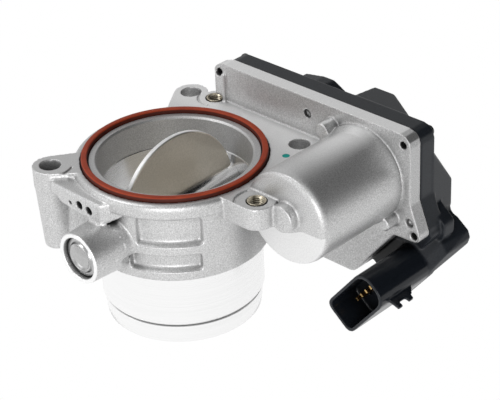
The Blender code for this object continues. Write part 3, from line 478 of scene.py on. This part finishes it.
def cast_aluminium():
    """Blasted casting, fine sparkle, one paint dot, brighter where faced; painted light and shade."""
    nodes = Nodes("cast_aluminium", 0.45, 0.8)
    x, y, z = [nodes.coordinate(axis) for axis in "XYZ"]
    grain = nodes.noise(CAST_GRAIN)
    tone = nodes.noise(2.2)
    body = nodes.ramp(grain, [(0.28, 0.46), (0.5, 0.61), (0.72, 0.82)])
    # The darker ramp on the gear case is painted shade.
    case = nodes.ramp(grain, [(0.28, 0.38), (0.5, 0.51), (0.72, 0.68)])
    surface = nodes.mix(nodes.between(x, CASE_FRONT - 1.2, CASE_FRONT - 0.2), body, case)
    # The faced top is machined flat; its rise in brightness from the flange to the deck is painted
    # light.
    flange = nodes.tones(tone, 0.57, 0.70)
    lit_deck = nodes.tones(tone, 0.86, 0.98)
    faced_and_lit = nodes.mix(nodes.between(x, LIT_DECK_RAMP_START, LIT_DECK_RAMP_END), flange, lit_deck)
    on_top = nodes.times(nodes.facing_up(), nodes.between(z, -0.5, -0.2))
    surface = nodes.mix(on_top, surface, faced_and_lit)
    boss_face = nodes.between(x, BOSS_END + 0.55, BOSS_END + 0.35)
    turned = nodes.tones(nodes.noise(1.0, 2), 0.92, 0.98)
    surface = nodes.mix(boss_face, surface, turned)
    on_step = nodes.times(
        nodes.between(x, STEP_DEPTH - 0.4, STEP_DEPTH - 0.2),
        nodes.between(x, STEP_DEPTH + 1.0, STEP_DEPTH + 0.2),
    )
    low_front = nodes.times(
        nodes.between(y, STEP_INSIDE, STEP_INSIDE - 1.0),
        nodes.between(z, STEP_TOP + 0.3, STEP_TOP),
    )
    surface = nodes.mix(nodes.times(on_step, low_front), surface, nodes.tones(tone, 0.78, 0.90))
    paint = nodes.tones(nodes.noise(0.8), (0.0, 0.32, 0.28), (0.0, 0.44, 0.38))
    dot = nodes.between(nodes.distance_from(PAINT_DOT), PAINT_RADIUS, PAINT_RADIUS - 0.25)
    # Crevices and holes are darkened with painted shade.
    nodes.colour(nodes.crevice_shade(nodes.mix(dot, surface, paint), 6.0))
    nodes.roughness(nodes.tones(grain, 0.52, 0.36))
    nodes.bump(grain, 0.035)
    return nodes.material


def machined_core():
    """Turned aluminium; the upper bore's wall is rough and the spigot's notch lies in shadow."""
    nodes = Nodes("machined_core", 0.3, 0.85)
    height = nodes.coordinate("Z")
    rings = nodes.noise(0.3, 2, (0.02, 0.02, 9.0))
    outside = nodes.tones(rings, 0.93, 0.98)
    inside = nodes.tones(rings, 0.70, 0.82)
    wall = nodes.between(nodes.off_axis(), VALVE_BORE_RADIUS + 0.1, VALVE_BORE_RADIUS + 0.6)
    turned = nodes.mix(wall, inside, outside)
    grain = nodes.noise(CAST_GRAIN)
    rough = nodes.ramp(grain, [(0.3, 0.46), (0.5, 0.57), (0.72, 0.72)])
    upper = nodes.between(height, VALVE_BORE_TOP - 0.2, VALVE_BORE_TOP + 0.1)
    notch = nodes.times(
        nodes.between(height, SPIGOT_BEVEL - 0.75, SPIGOT_BEVEL - 0.55),
        nodes.between(height, SPIGOT_BEVEL + 0.25, SPIGOT_BEVEL - 0.05),
    )
    shadow = nodes.tones(grain, 0.10, 0.20)
    nodes.colour(nodes.mix(notch, nodes.mix(upper, turned, rough), shadow))
    nodes.roughness(nodes.mix(upper, nodes.level(0.2), nodes.level(0.5)))
    nodes.bump(nodes.times(grain, upper), 0.03)
    return nodes.material


def silicone():
    """Red-brown silicone, darker down its sides."""
    nodes = Nodes("silicone", 0.55)
    nodes.specular(0.25)
    red = nodes.tones(nodes.noise(0.25), (0.33, 0.040, 0.012), (0.40, 0.055, 0.018))
    shade = nodes.tones(nodes.noise(0.4), (0.06, 0.009, 0.004), (0.085, 0.013, 0.006))
    crown = nodes.between(nodes.coordinate("Z"), SEAL_TOP - 0.7, SEAL_TOP - 0.25)
    nodes.colour(nodes.mix(crown, shade, red))
    nodes.bump(nodes.noise(1.5), 0.02)
    return nodes.material


def valve_metal():
    """Rolled plate, warm grey, with a bright turned rim."""
    nodes = Nodes("valve_metal", 0.4, 0.85)
    sheet = nodes.tones(nodes.noise(1.6), (0.72, 0.67, 0.57), (0.84, 0.78, 0.68))
    rim = nodes.tones(nodes.noise(1.0), 0.85, 0.95)
    from_centre = nodes.distance_from((0, 0, SHAFT_Z))
    edge = nodes.between(from_centre, PLATE_RADIUS - 0.25, PLATE_RADIUS - 0.1)
    nodes.colour(nodes.mix(edge, sheet, rim))
    nodes.bump(nodes.noise(2.0), 0.006)
    return nodes.material


def plastic(name, dark, light, roughness):
    """Moulded plastic with a fine eroded grain."""
    nodes = Nodes(name, roughness)
    texture = nodes.noise(PLASTIC_GRAIN, 4)
    nodes.colour(nodes.tones(texture, dark, light))
    nodes.roughness(nodes.tones(texture, roughness + 0.05, roughness - 0.05))
    nodes.bump(texture, 0.02)
    return nodes.material


def cover_plastic():
    """Black moulded plastic: fine grained on the cover, darker and glossier on the plug shroud."""
    nodes = Nodes("cover_plastic", 0.42)
    nodes.specular(0.35)
    texture = nodes.noise(PLASTIC_GRAIN, 4)
    cover = nodes.tones(texture, (0.008, 0.010, 0.014), (0.017, 0.021, 0.027))
    shroud = nodes.tones(texture, (0.007, 0.009, 0.013), (0.012, 0.015, 0.020))
    on_shroud = nodes.between(nodes.coordinate("X"), CASE_RIM, CASE_RIM - 1.0)
    # Painted shade darkens the plug's mouth and other hollows.
    nodes.colour(nodes.crevice_shade(nodes.mix(on_shroud, cover, shroud), 9.0))
    nodes.roughness(nodes.mix(on_shroud, nodes.level(0.45), nodes.level(0.28)))
    nodes.bump(texture, 0.02)
    return nodes.material


def metal(name, dark, light, roughness, per_mm=1.0, stretch=(1, 1, 1), depth=0.01, reach=0.3):
    """Machined or drawn metal; stretch draws the marks out along an axis."""
    nodes = Nodes(name, roughness, 1.0)
    marks = nodes.noise(per_mm, 3, stretch)
    # Painted shade darkens crevices within reach millimetres.
    nodes.colour(nodes.crevice_shade(nodes.tones(marks, dark, light), reach))
    nodes.roughness(nodes.tones(marks, roughness + 0.06, roughness - 0.06))
    nodes.bump(marks, depth)
    return nodes.material


LOOKS = {
    "cast_aluminium": cast_aluminium(),
    "machined_core": machined_core(),
    "silicone": silicone(),
    # Brass spreads its painted shade further, darkening the insert threads.
    "brass": metal("brass", (0.36, 0.32, 0.24), (0.66, 0.60, 0.48), 0.3, reach=3.5),
    "bronze": metal("bronze", (0.42, 0.26, 0.13), (0.6, 0.4, 0.22), 0.45),
    "copper": metal("copper", (0.42, 0.16, 0.08), (0.7, 0.36, 0.2), 0.4, 0.8, (1, 6, 6)),
    "gold": metal("gold", (0.5, 0.32, 0.12), (0.72, 0.5, 0.22), 0.25),
    "steel": metal("steel", 0.55, 0.72, 0.28, 0.6, (0.2, 3, 3)),
    "bright_steel": metal("bright_steel", 0.75, 0.9, 0.22, 0.6, (0.1, 3, 3)),
    "cap_steel": metal("cap_steel", 0.42, 0.56, 0.25, 0.6, (1, 0.3, 0.3), 0.004),
    "dark_steel": metal("dark_steel", 0.06, 0.12, 0.35),
    "valve_metal": valve_metal(),
    "magnet": metal("magnet", 0.05, 0.1, 0.6),
    "gear_plastic": plastic("gear_plastic", (0.66, 0.62, 0.52), (0.76, 0.73, 0.64), 0.5),
    "cover_plastic": cover_plastic(),
    "rubber": plastic("rubber", 0.012, 0.025, 0.65),
    "circuit_board": plastic("circuit_board", (0.015, 0.1, 0.04), (0.03, 0.16, 0.07), 0.4),
}


# Pieces ------------------------------------------------------------------------------------------


def finish_piece(obj, look, record_slot, *nodes, body="root"):
    """Gives a piece its material and body and hides the CAD nodes it stands for; record_slot is not
    used.
    """
    wear(obj, LOOKS[look])
    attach(obj, body)
    if nodes:
        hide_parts(*nodes)


def flange_marks():
    """Shallow steps that border the faced pads, cut into the cast top."""
    marks = []
    # name, centre, inner and outer radius, first and last angle
    bands = (
        ("insert_mark", (-5.2, -47.9), 7.6, 8.6, 62, 140),
        ("far_mark", (-36.2, 30.9), 8.3, 9.5, -108, -58),
        ("back_mark", (43.2, 20.7), 6.6, 7.5, 100, 215),
    )
    for name, centre, inner, outer, first, last in bands:
        outline = arc_band(centre, inner, outer, first, last)
        marks.append(block(name, outline, (-MARK_DEPTH, 1.0)))
    return marks


def core_room():
    """What the turned core stands for: the bore wall, the inner land and the spigot."""
    groove, groove_floor = GROOVE_INNER + 0.2, GROOVE_BOTTOM + 0.02
    shoulder, wide = BARREL_END + 0.05, FLANGE_RADIUS + 0.8
    profile = [(0, OVERSHOOT), (groove, OVERSHOOT), (groove, groove_floor)]
    profile += [(CORE_RADIUS, groove_floor), (CORE_RADIUS, shoulder), (wide, shoulder)]
    profile += [(wide, SPIGOT_END - OVERSHOOT), (0, SPIGOT_END - OVERSHOOT)]
    return lathe("core_room", profile)


def front_step():
    """The lower half of the motor's end face stands back a little."""
    low_end, outer_end = -30.0, -78.0
    edge = [(outer_end, STEP_TOP), (-64.0, -9.3), (-61.6, -10.8), (-58.2, -12.4), (-54.0, -13.2)]
    edge += [(-50.4, -11.5), (-46.9, -14.4), (STEP_INSIDE, -17.0)]
    edge += [(STEP_INSIDE, low_end), (outer_end, low_end)]
    return block("front_step", edge, (-1.0, STEP_DEPTH), ALONG_X)


def corner_fill():
    """Closes the front end of the lower screw hole in the case rim."""
    radius, length = 2.2, 2.3
    centre, end = middle("cover_screw_4"), low("cover_screw_4").x - 0.1
    profile = [(0, end - length), (radius, end - length), (radius, end), (0, end)]
    return lathe("corner_fill", profile, along_x(centre.y, centre.z), 32)


def deck_corner():
    """Fills the corner between the flange, the deck and the motor tube."""
    start, end, outer_y, depth = 8.0, 24.0, -38.6, 6.0
    outline = [(start, -36.6), (end, -30.0), (end, outer_y), (start, outer_y)]
    return block("deck_corner", outline, (-depth, 0.0))


def true_up(points, axes, centre, radius, chosen):
    """Moves chosen points that are within SNAP_REACH of a true cylinder onto it."""
    offset = points[:, axes] - np.array(centre)
    distance = np.hypot(*offset.T)
    near = chosen & (np.abs(distance - radius) < SNAP_REACH)
    scaled = np.array(centre) + offset[near] * (radius / distance[near])[:, None]
    for column, axis in enumerate(axes):
        points[near, axis] = scaled[:, column]


def ease_tube(points):
    """Draws the motor tube in by up to TUBE_EASE on the side that faces the deck."""
    x, y, z = points.T
    side, up = y - MOTOR.y, z - MOTOR.z
    distance = np.hypot(side, up)
    turn = np.arctan2(up, side) - math.radians(EASE_ANGLE)
    depth = TUBE_EASE * np.clip(np.cos(turn), 0, 1) ** 2
    skin = rise(distance, MOTOR_RADIUS - 1.4, MOTOR_RADIUS - 0.2) * (distance < MOTOR_RADIUS + 0.3)
    share = skin * rise(x, CASE_FRONT - 2.0, CASE_FRONT - 6.0) * (z > 0.2)
    scale = 1 - depth * share / np.maximum(distance, 1.0)
    points[:, 1] = MOTOR.y + side * scale
    points[:, 2] = MOTOR.z + up * scale


def first_smoothing(points):
    """The share of smoothing that rounds the cast edges: none on faced planes, little nearby."""
    x, y, z = points.T
    top = z > -0.35
    top_edge = (z > -0.9) & ~top
    rim = x > CASE_RIM - 1.0
    core_wall = (np.hypot(x, y) < CORE_RADIUS + 1.0) & (z < -1.0)
    step = (np.abs(x - 0.4) < 0.8) & (y < STEP_INSIDE + 1.0) & (z < STEP_TOP + 0.7)
    zones = ((top, 0.0), (top_edge, 0.2), (rim, 0.15), (core_wall, 0.0), (step, 0.1))
    amount = np.full(len(points), 0.5)
    for zone, share in zones:
        amount[zone] = share
    return amount


def second_smoothing(points):
    """More for the web beside the shaft boss, except its holes, and for the barrel's pockets."""
    boss_edge, hole_edge, web_start = 11.0, 2.4, -36.0
    pocket_x, pocket_y, pocket_bottom, pocket_top = -10.0, -4.0, -33.5, -6.8
    x, y, z = points.T
    radius = np.hypot(x, y)
    beside_boss = np.hypot(y, z - SHAFT_Z) > boss_edge
    web = (radius > FLANGE_RADIUS + 0.8) & (x < web_start) & (z < -0.8)
    for hole_y, hole_z in WEB_HOLES:
        web &= np.hypot(y - hole_y, z - hole_z) > hole_edge
    pockets = (radius > CORE_RADIUS + 0.8) & (radius < BARREL_RADIUS + 1.0)
    pockets &= (x < pocket_x) & (y < pocket_y) & (z > pocket_bottom) & (z < pocket_top)
    return 0.5 * (beside_boss & (web | pockets))


def make_housing():
    """The casting: remeshed fine, with its cast edges rounded and its faced planes kept flat."""
    first_rounds, second_rounds = 6, 14
    tube_start, flange_low, barrel_top = 3.2, -2.0, -8.0
    housing = closed_copy("housing", "housing_casting")
    carve(housing, [deck_corner(), corner_fill()], "UNION")
    carve(housing, [core_room(), front_step()] + flange_marks())
    remesh(housing, VOXEL)
    put_back(housing, relax(housing, first_smoothing(coordinates(housing)), first_rounds))
    points = relax(housing, second_smoothing(coordinates(housing)), second_rounds)
    points[np.abs(points[:, 2]) < TOP_REACH, 2] = 0.0
    true_up(points, (1, 2), (MOTOR.y, MOTOR.z), MOTOR_RADIUS, points[:, 0] > tube_start)
    ease_tube(points)
    true_up(points, (0, 1), (0, 0), FLANGE_RADIUS, points[:, 2] < flange_low)
    true_up(points, (0, 1), (0, 0), BARREL_RADIUS, points[:, 2] < barrel_top)
    put_back(housing, points)
    housing.data.shade_smooth()
    finish_piece(housing, "cast_aluminium", "cast_aluminium", "housing")


def make_core():
    """The inner land, the bore, the valve bore and the spigot, turned in one ring."""
    groove, chamfer, notch = GROOVE_INNER, 0.7, NOSE_RADIUS - NOTCH_DEPTH
    profile = [(groove, GROOVE_BOTTOM), (groove, -0.25), (groove - 0.25, 0.0)]
    profile += [(BORE_RADIUS + chamfer, 0.0), (BORE_RADIUS, -chamfer), (BORE_RADIUS, VALVE_BORE_TOP)]
    profile += [(VALVE_BORE_RADIUS, VALVE_BORE_TOP - 0.35), (VALVE_BORE_RADIUS, SPIGOT_END + 0.8)]
    profile += [(VALVE_BORE_RADIUS + 0.5, SPIGOT_END), (NOSE_END_RADIUS - 0.2, SPIGOT_END)]
    profile += [(NOSE_END_RADIUS, SPIGOT_END + 0.3), (NOSE_RADIUS, SPIGOT_BEVEL - 1.4)]
    profile += [(NOSE_RADIUS - 0.1, SPIGOT_BEVEL - 0.9), (notch, SPIGOT_BEVEL - 0.6)]
    profile += [(notch, SPIGOT_BEVEL - 0.1), (NOSE_RADIUS, SPIGOT_BEVEL + 0.1)]
    profile += [(SPIGOT_RADIUS, SPIGOT_BEVEL + 1.1), (SPIGOT_RADIUS, BARREL_END - 0.1)]
    profile += [(SPIGOT_RADIUS + 0.2, BARREL_END + 0.1), (CORE_RADIUS, BARREL_END + 0.2)]
    profile += [(CORE_RADIUS, GROOVE_BOTTOM)]
    core = lathe("machined_core", profile, steps=224, ring=True)
    finish_piece(core, "machined_core", "cast_aluminium")


def make_seal():
    """A silicone ring with a crowned top, a little narrower there than in its groove."""
    foot = -2.3
    side = [(0, foot), (0, 0.5), (0.1, 1.0), (0.2, SEAL_TOP - 0.3), (0.45, SEAL_TOP - 0.06)]
    profile = [(SEAL_INNER + inset, height) for inset, height in side]
    profile += [((SEAL_OUTER + SEAL_INNER) / 2, SEAL_TOP)]
    profile += [(SEAL_OUTER - inset, height) for inset, height in reversed(side)]
    seal = lathe("bore_seal_ring", profile, steps=224, ring=True)
    finish_piece(seal, "silicone", "silicone", "bore_seal")


def make_inserts():
    """Brass inserts: a flat collar, and ridges inside that stand for the thread."""
    wall, lead, ridge = 0.75, 0.3, 0.42
    for node in ("insert_motor_side", "insert_gear_side"):
        centre, top, bottom = middle(node), high(node).z, low(node).z
        outer = (high(node).x - low(node).x) / 2
        inner = outer - wall
        profile = [(outer, bottom), (outer, top - 0.1), (outer - 0.1, top), (inner + 0.25, top)]
        profile += [(inner, top - 0.25)]
        turn = 0
        while top - lead - (turn + 1) * THREAD_PITCH > bottom:
            start = top - lead - turn * THREAD_PITCH
            profile += [(inner, start), (inner - ridge, start - THREAD_PITCH * 0.45)]
            profile += [(inner, start - THREAD_PITCH * 0.9)]
            turn += 1
        profile += [(inner, bottom)]
        matrix = Matrix.Translation((centre.x * MM, centre.y * MM, 0))
        insert = lathe(node + "_thread", profile, matrix, steps=72, ring=True)
        finish_piece(insert, "brass", "brass", node)


def make_plug():
    """The pressed steel cap in the end of the shaft boss, with a raised ring around its middle."""
    face = -low("shaft_end_plug").x
    edge = (high("shaft_end_plug").y - low("shaft_end_plug").y) / 2
    pressed = [(0, 0.9), (3.6, 0.9), (4.4, 0.7), (4.9, 0.2), (5.3, 0), (5.7, 0.2), (6.0, 0.7)]
    pressed += [(6.4, 1.0), (edge - 0.5, 1.05), (edge - 0.2, 1.2), (edge, 1.5), (edge, 2.2), (0, 2.2)]
    profile = [(radius, face - depth) for radius, depth in pressed]
    cap = lathe("shaft_end_cap", profile, along_x(PLUG.y, PLUG.z, -1), 128)
    finish_piece(cap, "cap_steel", "steel", "shaft_end_plug")


def make_shaft():
    """The throttle shaft with bevelled ends."""
    radius, bevel = SHAFT_RADIUS, 0.6
    start, end = low("throttle_shaft").x, high("throttle_shaft").x
    profile = [(0, start), (radius - bevel, start), (radius, start + bevel)]
    profile += [(radius, end - bevel), (radius - bevel, end), (0, end)]
    shaft = lathe("throttle_shaft_turned", profile, along_x(0, SHAFT_Z), 128)
    finish_piece(shaft, "bright_steel", "steel", "throttle_shaft", body="throttle")


def make_plate():
    """The butterfly disc with its turned rim, in the plane of its CAD node."""
    half, radius = PLATE_THICKNESS / 2, PLATE_RADIUS
    profile = [(0, half), (radius - 0.5, half), (radius, half - 0.4), (radius, 0.4 - half)]
    profile += [(radius - 0.5, -half), (0, -half)]
    tilt = Matrix.Rotation(math.radians(OPEN_ANGLE), 4, "X")
    matrix = Matrix.Translation((0, 0, SHAFT_Z * MM)) @ tilt
    plate = lathe("throttle_disc", profile, matrix, 192)
    finish_piece(plate, "valve_metal", "valve_metal", "throttle_plate", body="throttle")


def make_cover():
    """The gear cover and its plug shroud, remeshed fine with softened edges."""
    share, rounds = 0.45, 4
    cover = closed_copy("gear_cover", "gear_cover_moulding")
    remesh(cover, COVER_VOXEL)
    amount = np.full(len(cover.data.vertices), share)
    put_back(cover, relax(cover, amount, rounds))
    cover.data.shade_smooth()
    finish_piece(cover, "cover_plastic", "black_plastic", "gear_cover")


def make_cover_screws():
    """Low screws with a bevelled head and a six-sided socket, on the axes of the CAD ones."""
    shank, socket_radius, socket_depth = 1.3, 1.15, 1.0
    for number in range(1, 6):
        node = "cover_screw_%d" % number
        centre, tip, end = middle(node), low(node).x, high(node).x
        head = (high(node).y - low(node).y) / 2 - 0.5
        start, top = end - 2.2, end - 0.9
        profile = [(0, tip), (shank - 0.2, tip), (shank, tip + 0.4), (shank, start), (head, start)]
        profile += [(head, top - 0.5), (head - 0.15, top - 0.2), (head - 0.6, top), (0, top)]
        screw = lathe(node + "_turned", profile, along_x(centre.y, centre.z), 64)
        hexagon = arc((centre.y, centre.z), socket_radius, 0, 300, 5)
        carve(screw, [block("socket", hexagon, (top - socket_depth, top + 1.0), ALONG_X)])
        smooth_by_angle(screw)
        finish_piece(screw, "dark_steel", "steel", node)


def dress_cad_nodes():
    """Materials for the CAD nodes that show as they are."""
    for row in frame["record"]["subparts"]:
        node = frame["nodes"][row["node"]]
        if node.hide_render:
            continue
        wear(node, LOOKS[row["material_slot"]])
        smooth_by_angle(node)


# Stage -------------------------------------------------------------------------------------------


def camera_level(tree, seen):
    """Gives camera rays the level seen and all other rays the level at its To Min input."""
    path = tree.nodes.new("ShaderNodeLightPath")
    level = tree.nodes.new("ShaderNodeMapRange")
    level.inputs["To Max"].default_value = seen
    tree.links.new(path.outputs["Is Camera Ray"], level.inputs["Value"])
    return level


def glow(name, seen, cast):
    """A white surface: seen is its level to the camera, cast what it throws on the object."""
    material = bpy.data.materials.new(name)
    material.use_nodes = True
    tree = material.node_tree
    tree.nodes.clear()
    output = tree.nodes.new("ShaderNodeOutputMaterial")
    emission = tree.nodes.new("ShaderNodeEmission")
    level = camera_level(tree, seen)
    level.inputs["To Min"].default_value = cast
    tree.links.new(level.outputs["Result"], emission.inputs["Strength"])
    tree.links.new(emission.outputs["Emission"], output.inputs["Surface"])
    return material


def make_floor():
    """A white floor a little under the spigot's end."""
    reach = FLOOR_REACH
    corners = [(-reach, -reach), (reach, -reach), (reach, reach), (-reach, reach)]
    top = SPIGOT_END - FLOOR_GAP
    floor = block("floor", corners, (top - 1.0, top))
    wear(floor, glow("floor_white", FLOOR_SEEN, FLOOR_CAST))


def area_light(name, position, target, size, power):
    light = bpy.data.lights.new(name, "AREA")
    light.shape = "RECTANGLE"
    light.size, light.size_y = size
    light.energy = power
    obj = add_object(name, light)
    obj.location = position
    aim = Vector(target) - Vector(position)
    obj.rotation_euler = aim.to_track_quat("-Z", "Y").to_euler()


def make_room():
    """A pale room with one dark side, which gives the metal its darker band; white when seen."""
    world = bpy.data.worlds.new("studio")
    bpy.context.scene.world = world
    world.use_nodes = True
    tree = world.node_tree
    background = tree.nodes["Background"]
    place = tree.nodes.new("ShaderNodeTexCoord")
    towards = tree.nodes.new("ShaderNodeVectorMath")
    towards.operation = "DOT_PRODUCT"
    towards.inputs[1].default_value = Vector(DIM_SIDE).normalized()
    tree.links.new(place.outputs["Generated"], towards.inputs[0])
    room = tree.nodes.new("ShaderNodeMapRange")
    room.interpolation_type = "SMOOTHSTEP"
    room.inputs["From Min"].default_value = DIM_SPREAD[0]
    room.inputs["From Max"].default_value = DIM_SPREAD[1]
    room.inputs["To Min"].default_value = ROOM_BRIGHT
    room.inputs["To Max"].default_value = ROOM_DIM
    tree.links.new(towards.outputs["Value"], room.inputs["Value"])
    level = camera_level(tree, 1.0)
    tree.links.new(room.outputs["Result"], level.inputs["To Min"])
    tree.links.new(level.outputs["Result"], background.inputs["Strength"])
    background.inputs["Color"].default_value = (1, 1, 1, 1)


def make_camera():
    """The photograph's view: from beyond the motor's front and the shaft boss, looking down."""
    turn = Matrix.Rotation(math.radians(CAMERA_TURN + 90), 4, "Z")
    tilt = Matrix.Rotation(math.radians(90 - CAMERA_RISE), 4, "X")
    roll = Matrix.Rotation(math.radians(CAMERA_ROLL), 4, "Z")
    camera = bpy.data.cameras.new("camera")
    camera.sensor_width = SENSOR_WIDTH
    camera.lens = FOCAL_LENGTH
    camera.clip_start = 0.01
    obj = add_object("camera", camera)
    obj.matrix_world = turn @ tilt @ roll @ Matrix.Translation(Vector(CAMERA_PLACE) * MM)
    bpy.context.scene.camera = obj


make_housing()
make_core()
make_seal()
make_inserts()
make_plug()
make_shaft()
make_plate()
make_cover()
make_cover_screws()
dress_cad_nodes()
make_floor()
make_room()
for light_row in LIGHTS:
    area_light(*light_row)
make_camera()
bpy.context.scene.view_settings.view_transform = "Standard"
